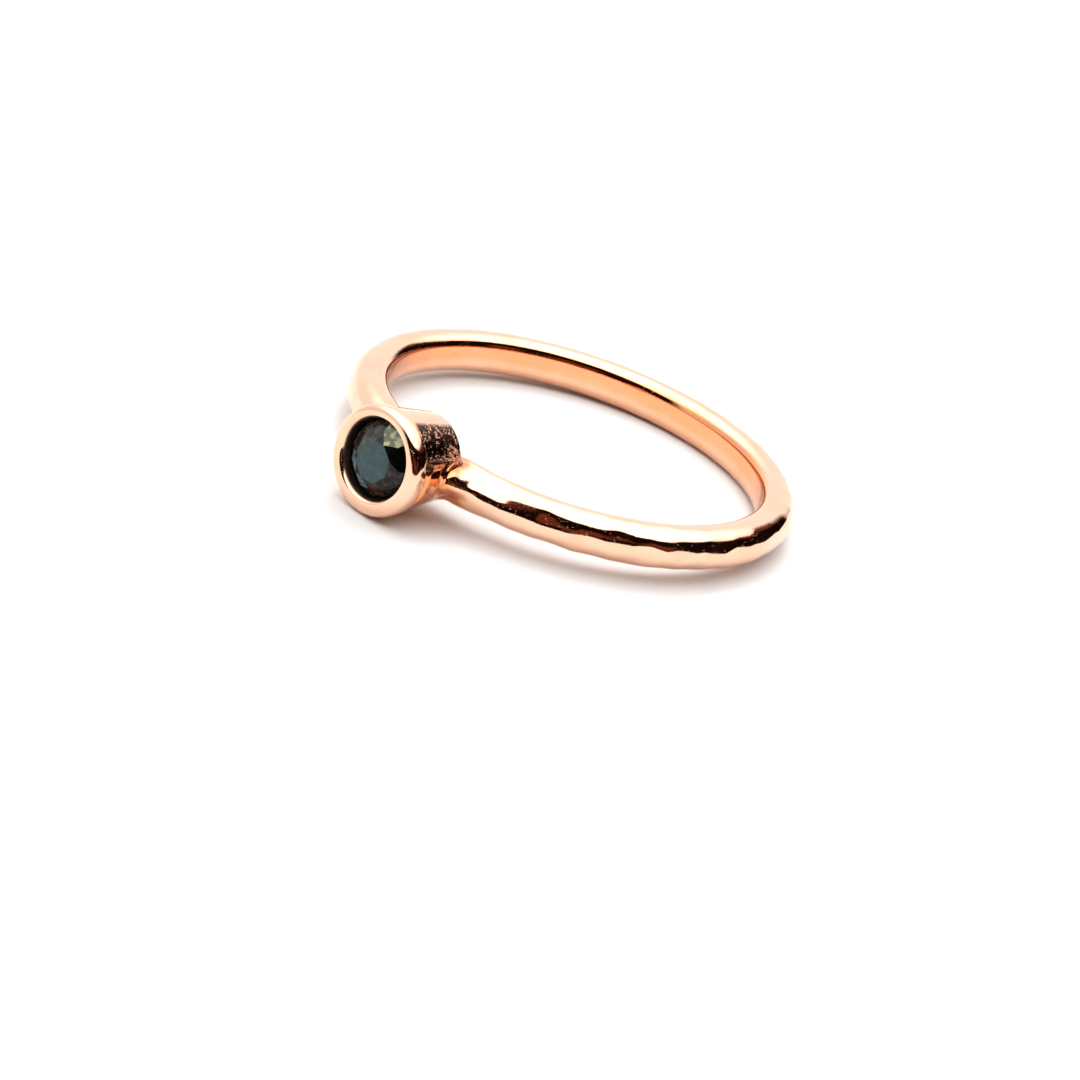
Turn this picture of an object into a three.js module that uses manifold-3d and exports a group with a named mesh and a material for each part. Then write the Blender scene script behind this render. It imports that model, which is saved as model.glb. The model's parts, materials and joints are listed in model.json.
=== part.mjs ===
// Stackable ring: a hammered band with one round black stone in a bezel cup.
// Millimetres, +Z up. The ring lies on its side, with the stone towards -Y.
import * as THREE from 'three';
import { mergeVertices } from 'three/addons/utils/BufferGeometryUtils.js';
import Module from 'manifold-3d';

const DEGREE = Math.PI / 180;

// Band: a round hoop about the finger's axis, half-round outside and flat inside.
const FINGER_RADIUS = 8.6;
const BAND_THICKNESS = 1.66;
const BAND_WIDTH = 1.85;
const OUTER_EXPONENT = 2;
const INNER_EXPONENT = 4;
const INNER_FLATTENING = 1.02;

// Hammer marks: shallow oval dents in three rows on the outside of the band.
const MARK_DEPTH = 0.05;
const MARK_LENGTH = 1.7;
const MARK_WIDTH = 1.15;
const MARK_ROWS = [
  { marks: 41, across: 0.78, start: 0.2 },
  { marks: 43, across: 0.0, start: 0.7 },
  { marks: 40, across: -0.78, start: 0.4 },
];

// Bezel: a tapered cup whose axis crosses the finger's axis and leans a little to one side.
// Its lip is thicker below than above, because the outside sits lower than the opening.
const BEZEL_LEAN = 2.4 * DEGREE;
const RIM_PLANE = 13.06;
const CUP_BACK = 9.62;
const CUP_BACK_RADIUS = 1.92;
const CUP_FRONT_RADIUS = 2.2;
const CUP_EDGE = 0.14;
const LIP_RADIUS = 2.36;
const LIP_DEPTH = 0.84;
const LIP_CREST = 1.98;
const LIP_DROP = 0.1;
const OPENING_RADIUS = 1.69;

// Stone: a round brilliant whose table is level with the rim.
const STONE_RADIUS = 1.62;
const TABLE_RADIUS = 0.92;
const CROWN_HEIGHT = 0.46;
const GIRDLE_HEIGHT = 0.08;
const PAVILION_DEPTH = 1.34;
const STONE_SINK = 0.03;
const STONE_SIDES = 16;
const SEAT_GAP = 0.05;

// Facets of the curved forms.
const BAND_STEPS = 160;
const OUTER_STEPS = 9;
const INNER_STEPS = 7;
const BEZEL_STEPS = 48;
const LIP_STEPS = 5;
const MERGE_DISTANCE = 1e-5;

const HALF_THICKNESS = BAND_THICKNESS / 2;
const HALF_WIDTH = BAND_WIDTH / 2;
const SECTION_RADIUS = FINGER_RADIUS + HALF_THICKNESS;
const OUTER_RADIUS = FINGER_RADIUS + BAND_THICKNESS;

const wasm = await Module();
wasm.setup();

const METAL = new THREE.MeshStandardMaterial({ color: 0xe8a987, roughness: 0.14, metalness: 1 });
const BLACK_STONE = new THREE.MeshStandardMaterial({ color: 0x0c0e0f, roughness: 0.06, metalness: 0 });

// A repeatable uneven fraction from 0 to 1, so that no two marks are alike.
function uneven(index, stride) {
  const value = index * stride;
  return value - Math.floor(value);
}

// Every hammer mark: its angle on the band, its place across it and its depth.
function hammerMarks() {
  const marks = [];
  for (const row of MARK_ROWS) {
    for (let i = 0; i < row.marks; i += 1) {
      const drift = 0.45 * (uneven(i, 0.618034) - 0.5);
      marks.push({
        angle: (2 * Math.PI * (i + row.start + drift)) / row.marks,
        across: row.across + 0.36 * (uneven(i, 0.414214) - 0.5),
        depth: MARK_DEPTH * (0.7 + 0.6 * uneven(i, 0.732051)),
      });
    }
  }
  return marks;
}

const MARKS = hammerMarks();

// How far the hammered face lies under the plain one, at an angle and a place across the band.
function dent(angle, across) {
  let deepest = 0;
  for (const mark of MARKS) {
    const turn = Math.abs(angle - mark.angle) % (2 * Math.PI);
    const along = Math.min(turn, 2 * Math.PI - turn) * OUTER_RADIUS;
    const shape = (2 * along / MARK_LENGTH) ** 2 + (2 * (across - mark.across) / MARK_WIDTH) ** 2;
    deepest = Math.max(deepest, mark.depth - MARK_DEPTH * shape);
  }
  return deepest;
}

// One point of the band's section: its distance from the finger's axis and its height.
function sectionPoint(step, angle) {
  const outside = step <= OUTER_STEPS;
  const turn = outside
    ? Math.PI * (step / OUTER_STEPS - 0.5)
    : Math.PI * (0.5 + (step - OUTER_STEPS) / INNER_STEPS);
  const power = 2 / (outside ? OUTER_EXPONENT : INNER_EXPONENT);
  const cosine = Math.abs(Math.cos(turn)) ** power;
  const height = Math.sign(Math.sin(turn)) * Math.abs(Math.sin(turn)) ** power * HALF_WIDTH;
  if (!outside) {
    const reach = SECTION_RADIUS - HALF_THICKNESS * INNER_FLATTENING * cosine;
    return { radius: Math.max(FINGER_RADIUS, reach), height };
  }
  const across = turn * (HALF_THICKNESS + HALF_WIDTH) / 2;
  const sink = dent(angle, across);
  return {
    radius: SECTION_RADIUS + (HALF_THICKNESS - sink) * cosine,
    height: height * (1 - sink / HALF_WIDTH),
  };
}

// The band as a closed grid of sections round the finger's axis.
function bandGeometry() {
  const sectionSteps = OUTER_STEPS + INNER_STEPS;
  const positions = [];
  const indices = [];
  for (let i = 0; i < BAND_STEPS; i += 1) {
    const angle = (2 * Math.PI * (i + 0.5)) / BAND_STEPS;
    for (let j = 0; j < sectionSteps; j += 1) {
      const { radius, height } = sectionPoint(j, angle);
      positions.push(radius * Math.cos(angle), radius * Math.sin(angle), height);
      const here = i * sectionSteps + j;
      const above = i * sectionSteps + (j + 1) % sectionSteps;
      const next = ((i + 1) % BAND_STEPS) * sectionSteps + j;
      const nextAbove = ((i + 1) % BAND_STEPS) * sectionSteps + (j + 1) % sectionSteps;
      indices.push(here, next, nextAbove, here, nextAbove, above);
    }
  }
  const geometry = new THREE.BufferGeometry();
  geometry.setAttribute('position', new THREE.Float32BufferAttribute(positions, 3));
  geometry.setIndex(indices);
  return geometry;
}

// Points on a quarter of an ellipse, without its first point.
function quarter(centreRadius, centreHeight, radial, axial, fromTurn) {
  const points = [];
  for (let i = 1; i <= LIP_STEPS; i += 1) {
    const turn = fromTurn + (Math.PI / 2) * (i / LIP_STEPS);
    points.push(new THREE.Vector2(
      centreRadius + radial * Math.cos(turn),
      centreHeight + axial * Math.sin(turn),
    ));
  }
  return points;
}

// Distances along the bezel's axis from the finger's axis.
const TABLE_PLANE = RIM_PLANE - STONE_SINK;
const GIRDLE_TOP = TABLE_PLANE - CROWN_HEIGHT;
const GIRDLE_FOOT = GIRDLE_TOP - GIRDLE_HEIGHT;
const CULET = GIRDLE_FOOT - PAVILION_DEPTH;

// The bezel cup: closed back, plain side, rolled lip, straight wall and a conical seat.
function bezelGeometry() {
  const lipCentre = RIM_PLANE - LIP_DEPTH / 2;
  const lipFoot = lipCentre - LIP_DEPTH / 2;
  const seatRadius = STONE_RADIUS + SEAT_GAP;
  const seatDepth = PAVILION_DEPTH * seatRadius / STONE_RADIUS;
  const profile = [
    new THREE.Vector2(0, CUP_BACK),
    new THREE.Vector2(CUP_BACK_RADIUS - CUP_EDGE, CUP_BACK),
    new THREE.Vector2(CUP_BACK_RADIUS, CUP_BACK + CUP_EDGE),
    new THREE.Vector2(CUP_FRONT_RADIUS, lipFoot),
    ...quarter(CUP_FRONT_RADIUS, lipCentre, LIP_RADIUS - CUP_FRONT_RADIUS, LIP_DEPTH / 2, -Math.PI / 2),
    ...quarter(LIP_CREST, lipCentre, LIP_RADIUS - LIP_CREST, LIP_DEPTH / 2, 0),
    ...quarter(LIP_CREST, lipCentre, LIP_CREST - OPENING_RADIUS, LIP_DEPTH / 2, Math.PI / 2),
    new THREE.Vector2(seatRadius, GIRDLE_TOP),
    new THREE.Vector2(seatRadius, GIRDLE_FOOT - SEAT_GAP),
    new THREE.Vector2(0, GIRDLE_FOOT - SEAT_GAP - seatDepth),
  ];
  const geometry = new THREE.LatheGeometry(profile, BEZEL_STEPS);
  lowerTheOutside(geometry.attributes.position);
  return pointAtBezel(geometry);
}

// Lowers what lies outside the opening, by more the nearer it is to the lip's edge.
function lowerTheOutside(positions) {
  for (let i = 0; i < positions.count; i += 1) {
    const radius = Math.hypot(positions.getX(i), positions.getZ(i));
    const share = (radius - OPENING_RADIUS) / (LIP_RADIUS - OPENING_RADIUS);
    positions.setZ(i, positions.getZ(i) + LIP_DROP * Math.max(0, share));
  }
}

// Turns a form made along +Y so that it points out along the bezel's axis.
function pointAtBezel(geometry) {
  return geometry.rotateX(Math.PI - BEZEL_LEAN);
}

// Corners of one level of the stone, evenly round its axis.
function level(radius, height, count, start) {
  const corners = [];
  for (let i = 0; i < count; i += 1) {
    const turn = (2 * Math.PI * (i + start)) / count;
    corners.push([radius * Math.sin(turn), height, radius * Math.cos(turn)]);
  }
  return corners;
}

// The height of a stone's main facet between two levels, at the radius of its side corners.
function between(low, high, share) {
  return low + (high - low) * share;
}

// A round brilliant: table, stars, crown mains, girdle facets, pavilion mains and culet.
function stoneGeometry() {
  const half = STONE_SIDES / 2;
  const kiteRadius = between(TABLE_RADIUS, STONE_RADIUS, 0.52);
  const kiteHeight = between(TABLE_PLANE, GIRDLE_TOP, 0.46);
  const lowerRadius = STONE_RADIUS * 0.24;
  const lowerHeight = between(CULET, GIRDLE_FOOT, 0.2);
  const table = level(TABLE_RADIUS, TABLE_PLANE, half, 0);
  const star = level(kiteRadius, kiteHeight, half, 0.5);
  const girdleTop = level(STONE_RADIUS, GIRDLE_TOP, STONE_SIDES, 0);
  const girdleFoot = level(STONE_RADIUS, GIRDLE_FOOT, STONE_SIDES, 0);
  const lower = level(lowerRadius, lowerHeight, half, 0.5);
  const culet = [0, CULET, 0];
  const top = [0, TABLE_PLANE, 0];
  const faces = [];
  for (let i = 0; i < half; i += 1) {
    const next = (i + 1) % half;
    const main = 2 * i;
    const middle = 2 * i + 1;
    const nextMain = (2 * i + 2) % STONE_SIDES;
    faces.push([top, table[i], table[next]]);
    faces.push([table[i], star[i], table[next]]);
    faces.push([star[i], girdleTop[main], girdleTop[middle]]);
    faces.push([star[i], girdleTop[middle], girdleTop[nextMain]]);
    faces.push([table[next], star[i], girdleTop[nextMain]]);
    faces.push([table[i], girdleTop[main], star[i]]);
    faces.push([girdleTop[main], girdleFoot[main], girdleFoot[middle]]);
    faces.push([girdleTop[main], girdleFoot[middle], girdleTop[middle]]);
    faces.push([girdleTop[middle], girdleFoot[middle], girdleFoot[nextMain]]);
    faces.push([girdleTop[middle], girdleFoot[nextMain], girdleTop[nextMain]]);
    faces.push([girdleFoot[main], lower[i], girdleFoot[middle]]);
    faces.push([girdleFoot[middle], lower[i], girdleFoot[nextMain]]);
    faces.push([girdleFoot[nextMain], lower[i], culet]);
    faces.push([girdleFoot[main], culet, lower[i]]);
  }
  const geometry = new THREE.BufferGeometry();
  geometry.setAttribute('position', new THREE.Float32BufferAttribute(faces.flat(2), 3));
  return pointAtBezel(geometry);
}

// A closed solid from a geometry, with its shared corners merged.
function solid(geometry) {
  const bare = geometry.clone();
  bare.deleteAttribute('normal');
  bare.deleteAttribute('uv');
  const merged = mergeVertices(bare, MERGE_DISTANCE);
  return new wasm.Manifold(new wasm.Mesh({
    numProp: 3,
    vertProperties: new Float32Array(merged.attributes.position.array),
    triVerts: new Uint32Array(merged.index.array),
  }));
}

function geometryOf(manifold) {
  const { vertProperties, triVerts } = manifold.getMesh();
  const geometry = new THREE.BufferGeometry();
  geometry.setAttribute('position', new THREE.BufferAttribute(vertProperties, 3));
  geometry.setIndex(new THREE.BufferAttribute(triVerts, 1));
  return geometry;
}

function namedMesh(name, manifold, material) {
  const mesh = new THREE.Mesh(geometryOf(manifold), material);
  mesh.name = name;
  return mesh;
}

// The lowest point on one side of the ring, once it is turned about X.
function lowest(positions, turn, side) {
  let low = Infinity;
  for (let i = 0; i < positions.count; i += 1) {
    const y = positions.getY(i);
    if (y * side > 0) {
      low = Math.min(low, y * Math.sin(turn) + positions.getZ(i) * Math.cos(turn));
    }
  }
  return low;
}

// The turn at which the bezel's lip and the far side of the band touch one flat surface.
function restingTurn(positions) {
  let low = -10 * DEGREE;
  let high = 0;
  for (let i = 0; i < 40; i += 1) {
    const middle = (low + high) / 2;
    if (lowest(positions, middle, -1) > lowest(positions, middle, 1)) {
      low = middle;
    } else {
      high = middle;
    }
  }
  return (low + high) / 2;
}

const metal = namedMesh('shank_and_bezel', solid(bandGeometry()).add(solid(bezelGeometry())), METAL);
const stone = namedMesh('stone', solid(stoneGeometry()), BLACK_STONE);

// The ring lies on its lip and on the far side of its band, halfway between its front and back.
const ring = new THREE.Group();
ring.add(metal, stone);
ring.rotation.x = restingTurn(metal.geometry.attributes.position);
ring.updateMatrixWorld(true);
const box = new THREE.Box3().setFromObject(ring, true);
const middle = box.getCenter(new THREE.Vector3());
ring.position.set(0, -middle.y, -box.min.z);

const part = new THREE.Group();
part.add(ring);

export default part;
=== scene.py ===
"""A slim stackable ring: a hammered rose gold band with a round black stone in a bezel cup.

The ring is worked out in millimetres about its own axis, with the bezel towards -Y, and is then
laid down where the frame holds it.
"""

import json
import logging
import math
from dataclasses import dataclass
from enum import Enum
from typing import Any, Mapping, Sequence, Union

import bmesh
import bpy
import numpy as np
from mathutils import Matrix, Vector, noise

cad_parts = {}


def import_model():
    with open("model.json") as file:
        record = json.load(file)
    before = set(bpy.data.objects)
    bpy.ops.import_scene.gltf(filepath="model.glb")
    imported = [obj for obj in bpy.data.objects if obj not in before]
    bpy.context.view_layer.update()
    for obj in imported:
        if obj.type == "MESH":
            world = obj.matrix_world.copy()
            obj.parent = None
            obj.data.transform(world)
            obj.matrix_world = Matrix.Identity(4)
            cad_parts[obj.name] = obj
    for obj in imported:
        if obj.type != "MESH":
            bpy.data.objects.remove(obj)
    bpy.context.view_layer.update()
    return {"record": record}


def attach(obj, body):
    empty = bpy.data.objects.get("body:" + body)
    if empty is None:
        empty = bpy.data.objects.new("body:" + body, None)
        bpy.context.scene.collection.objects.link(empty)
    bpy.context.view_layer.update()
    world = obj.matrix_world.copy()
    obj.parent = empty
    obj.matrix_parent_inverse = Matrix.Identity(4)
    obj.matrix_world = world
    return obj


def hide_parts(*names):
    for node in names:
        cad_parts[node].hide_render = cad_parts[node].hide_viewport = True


LOG = logging.getLogger("ring")
MM = 0.001
CLOSEST = 0.002
PHOTO_SIDE = 1080
SENSOR_WIDTH = 36.0


class Slot(Enum):
    """The material slots of the record."""

    METAL = "rose_gold"
    STONE = "black_stone"


class Node(Enum):
    """The solids of the frame."""

    METAL = "shank_and_bezel"
    STONE = "stone"


class Facet(Enum):
    """The kinds of facet of a round brilliant."""

    TABLE = "table"
    STAR = "star"
    KITE = "kite"
    UPPER = "upper girdle"
    GIRDLE = "girdle"
    LOWER = "lower girdle"
    MAIN = "pavilion main"


class Signal:
    """A number or colour on its way through a shader, with plain arithmetic."""

    def __init__(self, bench: "Bench", socket: bpy.types.NodeSocket) -> None:
        """Keep the bench that adds nodes and the socket that gives the value."""
        self.bench = bench
        self.socket = socket

    def _math(self, operation: str, *terms: Any, clamp: bool = False) -> "Signal":
        """Return the result of one Math node on these terms."""
        settings = {"operation": operation, "use_clamp": clamp}
        return self.bench.node("ShaderNodeMath", settings, dict(enumerate(terms)))

    def __add__(self, other: Any) -> "Signal":
        """Return the sum."""
        return self._math("ADD", self, other)

    def __radd__(self, other: Any) -> "Signal":
        """Return the sum, with the number first."""
        return self._math("ADD", other, self)

    def __sub__(self, other: Any) -> "Signal":
        """Return the difference."""
        return self._math("SUBTRACT", self, other)

    def __rsub__(self, other: Any) -> "Signal":
        """Return the difference, with the number first."""
        return self._math("SUBTRACT", other, self)

    def __mul__(self, other: Any) -> "Signal":
        """Return the product."""
        return self._math("MULTIPLY", self, other)

    def __rmul__(self, other: Any) -> "Signal":
        """Return the product, with the number first."""
        return self._math("MULTIPLY", other, self)

    def __truediv__(self, other: Any) -> "Signal":
        """Return the quotient."""
        return self._math("DIVIDE", self, other)

    def __pow__(self, other: Any) -> "Signal":
        """Return the power."""
        return self._math("POWER", self, other)

    def clamped(self) -> "Signal":
        """Return the value held between 0 and 1."""
        return self._math("ADD", self, 0.0, clamp=True)

    def step(self, low: float, high: float) -> "Signal":
        """Return a soft step from 0 at low to 1 at high.

        Args:
            low: The value at which the step starts.
            high: The value at which it ends.

        Returns:
            A signal from 0 to 1.
        """
        settings = {"interpolation_type": "SMOOTHSTEP"}
        ends = {"Value": self, "From Min": low, "From Max": high}
        return self.bench.node("ShaderNodeMapRange", settings, ends)


Term = Union[Signal, float, Sequence[float]]


class Bench:
    """The node tree of one finish."""

    def __init__(self, tree: bpy.types.NodeTree) -> None:
        """Clear the tree and keep it."""
        tree.nodes.clear()
        self.tree = tree

    @staticmethod
    def _find(sockets: Any, key: Union[str, int]) -> bpy.types.NodeSocket:
        """Return the socket in use with that name or number."""
        if isinstance(key, int):
            return sockets[key]
        return next(socket for socket in sockets if socket.enabled and socket.name == key)

    def node(
        self,
        kind: str,
        settings: Mapping[str, Any] | None = None,
        inputs: Mapping[Union[str, int], Term] | None = None,
        output: Union[str, int] = 0,
    ) -> Signal:
        """Add a node, set it up and feed it.

        Args:
            kind: The node's type.
            settings: The node's own settings, or a ramp's stops.
            inputs: Values or signals, by the name or number of the socket.
            output: The name or number of the socket that is returned.

        Returns:
            The signal at that output.
        """
        made = self.tree.nodes.new(kind)
        for name, value in (settings or {}).items():
            if name == "stops":
                self._set_stops(made.color_ramp, value)
            else:
                setattr(made, name, value)
        for key, term in (inputs or {}).items():
            socket = self._find(made.inputs, key)
            if isinstance(term, Signal):
                self.tree.links.new(term.socket, socket)
            else:
                socket.default_value = term
        if not made.outputs:
            return Signal(self, made.inputs[0])
        return Signal(self, self._find(made.outputs, output))

    @staticmethod
    def _set_stops(ramp: bpy.types.ColorRamp, stops: Sequence[tuple[float, Sequence[float]]]) -> None:
        """Give a ramp its stops, each a place and a colour."""
        while len(ramp.elements) < len(stops):
            ramp.elements.new(1.0)
        for element, (place, colour) in zip(ramp.elements, stops):
            element.position = place
            element.color = colour
        ramp.interpolation = "CONSTANT"

    def ramp(self, place: Signal, stops: Sequence[tuple[float, Sequence[float]]]) -> Signal:
        """Return the colour of the last stop before a place from 0 to 1.

        Args:
            place: The place on the ramp.
            stops: Places and colours.

        Returns:
            The colour.
        """
        return self.node("ShaderNodeValToRGB", {"stops": stops}, {"Fac": place}, "Color")

    def mix(self, factor: Term, first: Term, second: Term) -> Signal:
        """Return a colour between two others."""
        inputs = {"Factor": factor, "A": first, "B": second}
        return self.node("ShaderNodeMix", {"data_type": "RGBA"}, inputs, "Result")

    def place(self) -> Signal:
        """Return the place on the piece, in metres."""
        return self.node("ShaderNodeTexCoord", output="Object")

    def noise(self, place: Signal, grain: float, detail: float = 3.0) -> Signal:
        """Return cloudy noise whose grains have a given size.

        Args:
            place: Where on the piece.
            grain: The size of a grain in metres.
            detail: How many finer layers it has.

        Returns:
            A signal about 0.5.
        """
        inputs = {"Vector": place, "Scale": 1.0 / grain, "Detail": detail}
        return self.node("ShaderNodeTexNoise", inputs=inputs)

    def attribute(self, name: str) -> Signal:
        """Return a number that the mesh carries at each point."""
        return self.node("ShaderNodeAttribute", {"attribute_name": name}, output="Fac")

    def bump(self, height: Signal, depth: float, under: Signal | None = None) -> Signal:
        """Return normals bent by a height.

        Args:
            height: The height, from 0 to 1.
            depth: What 1 stands for, in metres.
            under: Normals from a coarser bump.

        Returns:
            The bent normals.
        """
        inputs: dict[Union[str, int], Term] = {"Strength": 1.0, "Distance": depth, "Height": height}
        if under is not None:
            inputs["Normal"] = under
        return self.node("ShaderNodeBump", inputs=inputs)


@dataclass(frozen=True)
class RoseGold:
    """Polished rose gold plating, rougher where the casting was never polished."""

    metal: tuple[float, float, float, float] = (0.93, 0.585, 0.41, 1.0)
    # Copper colour: the casting's copper grains and random warm clouds, and also a painted warm reflection on the
    # band's inner face.
    copper_and_painted_reflection: tuple[float, float, float, float] = (0.88, 0.38, 0.18, 1.0)
    stained: tuple[float, float, float, float] = (0.50, 0.14, 0.045, 1.0)
    scale_black: tuple[float, float, float, float] = (0.042, 0.012, 0.004, 1.0)
    polish: float = 0.045
    handling: float = 0.07
    # Dark colour painted as shade down inside the stone's seat, and put into the pits.
    seat_shade_and_pit_dark: tuple[float, float, float, float] = (0.034, 0.010, 0.006, 1.0)
    solder: tuple[float, float, float, float] = (0.86, 0.33, 0.14, 1.0)
    cast_roughness: float = 0.05
    seat_shade_and_pits_roughness: float = 0.3
    peel_grain: float = 0.00022
    peel_depth: float = 0.0000028
    hair_grain: float = 0.00004
    hair_depth: float = 0.0000006
    cast_grain: float = 0.00009
    cluster_grain: float = 0.0003
    spark_grain: float = 0.00005
    stain_grain: float = 0.00045
    pore_grain: float = 0.00006
    pore_depth: float = 0.000012
    cast_depth: float = 0.00004

    def material(self) -> bpy.types.Material:
        """Return the finish as a material."""
        made = bpy.data.materials.new("rose_gold_polished")
        made.use_nodes = True
        bench = Bench(made.node_tree)
        place = bench.place()
        cast = bench.attribute("cast")
        solder = bench.attribute("solder")
        seat_shade_and_pits = bench.attribute("seat_shade_and_pits")
        cloud = bench.noise(place, 0.0016, 4.0)
        speck = bench.noise(place, self.cast_grain, 4.0)
        cluster = bench.noise(place, self.cluster_grain, 3.0)
        bare = (0.6 * speck + 0.4 * cluster + 0.11 * bench.attribute("rubbed")).step(0.58, 0.62)
        grit = bench.noise(place, self.spark_grain, 2.0)
        # The inside weight paints a warm reflection onto the band's inner face; the cast part is the casting's own
        # copper colour.
        copper_and_painted_reflection = 0.95 * bench.attribute("inside") + 0.7 * cast * (1.0 - grit.step(0.5, 0.6))
        warm = (0.2 * cloud.step(0.4, 0.7) + copper_and_painted_reflection).clamped()
        plated = bench.mix(solder, bench.mix(warm, self.metal, self.copper_and_painted_reflection), self.solder)
        stain = solder * bench.noise(place, self.stain_grain, 3.0).step(0.5, 0.68)
        tint = bench.mix(0.75 * stain, plated, self.stained)
        scaled = bench.mix(cast * (1.0 - bare), tint, self.scale_black)
        # Painted shade inside the seat; the pits are darkened too.
        colour = bench.mix(0.9 * seat_shade_and_pits, scaled, self.seat_shade_and_pit_dark)
        wear = bench.noise(place, 0.0007, 5.0).step(0.35, 0.75)
        roughness = self.polish + self.handling * wear + self.cast_roughness * cast + self.seat_shade_and_pits_roughness * seat_shade_and_pits
        peel = bench.bump(bench.noise(place, self.peel_grain, 2.0), self.peel_depth)
        hair = bench.bump(bench.noise(place, self.hair_grain, 3.0), self.hair_depth, peel)
        pores = bench.noise(place, self.pore_grain, 1.0).step(0.7, 0.78) * cloud.step(0.45, 0.6)
        pocked = bench.bump(1.0 - pores, self.pore_depth, hair)
        rough = bench.bump(cast * (0.4 * speck + bare * (0.4 + 1.3 * grit)), self.cast_depth, pocked)
        inputs = {
            "Base Color": colour,
            "Metallic": 1.0,
            "Roughness": roughness,
            "Normal": rough,
        }
        shader = bench.node("ShaderNodeBsdfPrincipled", inputs=inputs)
        bench.node("ShaderNodeOutputMaterial", inputs={"Surface": shader})
        return made


class PaintedFacetLight(Enum):
    """Colours painted on the stone's facets for the reflections they show: plain colour, colour of the mottling and
    gloss; black is the stone's own colour.
    """

    BLACK = ((0.0015, 0.0015, 0.0015), (0.005, 0.004, 0.004), (0.12, 0.12, 0.12))
    SMOKE = ((0.012, 0.007, 0.004), (0.060, 0.034, 0.020), (0.15, 0.15, 0.15))
    BROWN = ((0.015, 0.011, 0.008), (0.075, 0.058, 0.040), (0.5, 0.5, 0.5))
    OLIVE = ((0.115, 0.105, 0.030), (0.52, 0.46, 0.21), (0.85, 0.85, 0.85))
    TEAL = ((0.006, 0.018, 0.019), (0.018, 0.036, 0.036), (0.75, 0.75, 0.75))
    PALE_TEAL = ((0.100, 0.160, 0.180), (0.200, 0.300, 0.320), (1.0, 1.0, 1.0))

    @property
    def share(self) -> float:
        """Return the painted colour's place on a ramp, from 0 to 1."""
        return (list(PaintedFacetLight).index(self) + 0.5) / len(PaintedFacetLight)

    @classmethod
    def stops(cls, which: int) -> list[tuple[float, tuple[float, ...]]]:
        """Return ramp stops of the plain colours (0), the mottling (1) or the gloss (2)."""
        return [(number / len(cls), (*painted_facet_light.value[which], 1.0)) for number, painted_facet_light in enumerate(cls)]


@dataclass(frozen=True)
class BlackStone:
    """A black cut stone with glossy facets, some of which carry painted reflections in smoky, brown, olive or teal
    colours.
    """

    refraction: float = 1.72
    dull_level: float = 0.08
    sheen: tuple[float, float, float, float] = (0.72, 0.95, 1.0, 1.0)
    polish: float = 0.04
    mottle_grain: float = 0.00028
    scratch_grain: float = 0.00006
    scratch_depth: float = 0.0000005

    def material(self) -> bpy.types.Material:
        """Return the finish as a material."""
        made = bpy.data.materials.new("black_stone_polished")
        made.use_nodes = True
        bench = Bench(made.node_tree)
        place = bench.place()
        # Each facet's colour, mottling and gloss are painted by where it lies round the stone, standing in for its
        # reflections.
        painted_facet_light = bench.attribute("painted_facet_light")
        mottle = bench.noise(place, self.mottle_grain, 5.0).step(0.46, 0.62)
        plain = bench.ramp(painted_facet_light, PaintedFacetLight.stops(0))
        cloudy = bench.ramp(painted_facet_light, PaintedFacetLight.stops(1))
        colour = bench.mix(mottle, plain, cloudy)
        roughness = self.polish + 0.10 * mottle
        scratches = bench.bump(bench.noise(place, self.scratch_grain, 3.0), self.scratch_depth)
        shared = {
            "Base Color": colour,
            "Roughness": roughness,
            "IOR": self.refraction,
            "Specular Tint": self.sheen,
            "Normal": scratches,
        }
        dull = bench.node("ShaderNodeBsdfPrincipled", inputs={**shared, "Specular IOR Level": self.dull_level})
        glossy = bench.node("ShaderNodeBsdfPrincipled", inputs=shared)
        gloss = bench.ramp(painted_facet_light, PaintedFacetLight.stops(2))
        shader = bench.node("ShaderNodeMixShader", inputs={0: gloss, 1: dull, 2: glossy})
        bench.node("ShaderNodeOutputMaterial", inputs={"Surface": shader})
        return made


@dataclass(frozen=True)
class PalePaper:
    """The matt white floor."""

    white: tuple[float, float, float, float] = (0.79, 0.785, 0.78, 1.0)
    shade: tuple[float, float, float, float] = (0.76, 0.755, 0.75, 1.0)

    def material(self) -> bpy.types.Material:
        """Return the finish as a material."""
        made = bpy.data.materials.new("pale_paper")
        made.use_nodes = True
        bench = Bench(made.node_tree)
        fibre = bench.noise(bench.place(), 0.004, 4.0)
        colour = bench.mix(fibre, self.white, self.shade)
        shader = bench.node("ShaderNodeBsdfPrincipled", inputs={"Base Color": colour, "Roughness": 0.9})
        bench.node("ShaderNodeOutputMaterial", inputs={"Surface": shader})
        return made


@dataclass(frozen=True)
class Laying:
    """How the ring lies in the frame: its turn about X and the place of its centre."""

    turn: float
    centre: Vector

    @classmethod
    def from_record(cls, record: Mapping[str, Any], finger_radius: float) -> "Laying":
        """Read the laying from the flat seat inside the band.

        Args:
            record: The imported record.
            finger_radius: The radius of the finger hole in millimetres.

        Returns:
            The laying, in radians and metres.
        """
        seat = next(mount for mount in record["mounts"] if mount["name"] == "finger_seat")
        normal = Vector(seat["axis"]).normalized()
        centre = Vector(seat["pos_m"]) + normal * (finger_radius * MM)
        return cls(turn=-math.asin(normal.z), centre=centre)

    def matrix(self) -> Matrix:
        """Return the matrix from the ring's own millimetres to the frame's metres."""
        return Matrix.Translation(self.centre) @ Matrix.Rotation(self.turn, 4, "X") @ Matrix.Scale(MM, 4)


def mesh_from(name: str, points: np.ndarray, faces: Sequence[Sequence[int]]) -> bpy.types.Mesh:
    """Make a mesh of points and faces.

    Args:
        name: The mesh's name.
        points: One row of three numbers for each point.
        faces: The numbers of each face's points.

    Returns:
        The mesh.
    """
    mesh = bpy.data.meshes.new(name)
    mesh.from_pydata(points.tolist(), [], faces)
    mesh.update()
    return mesh


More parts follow.
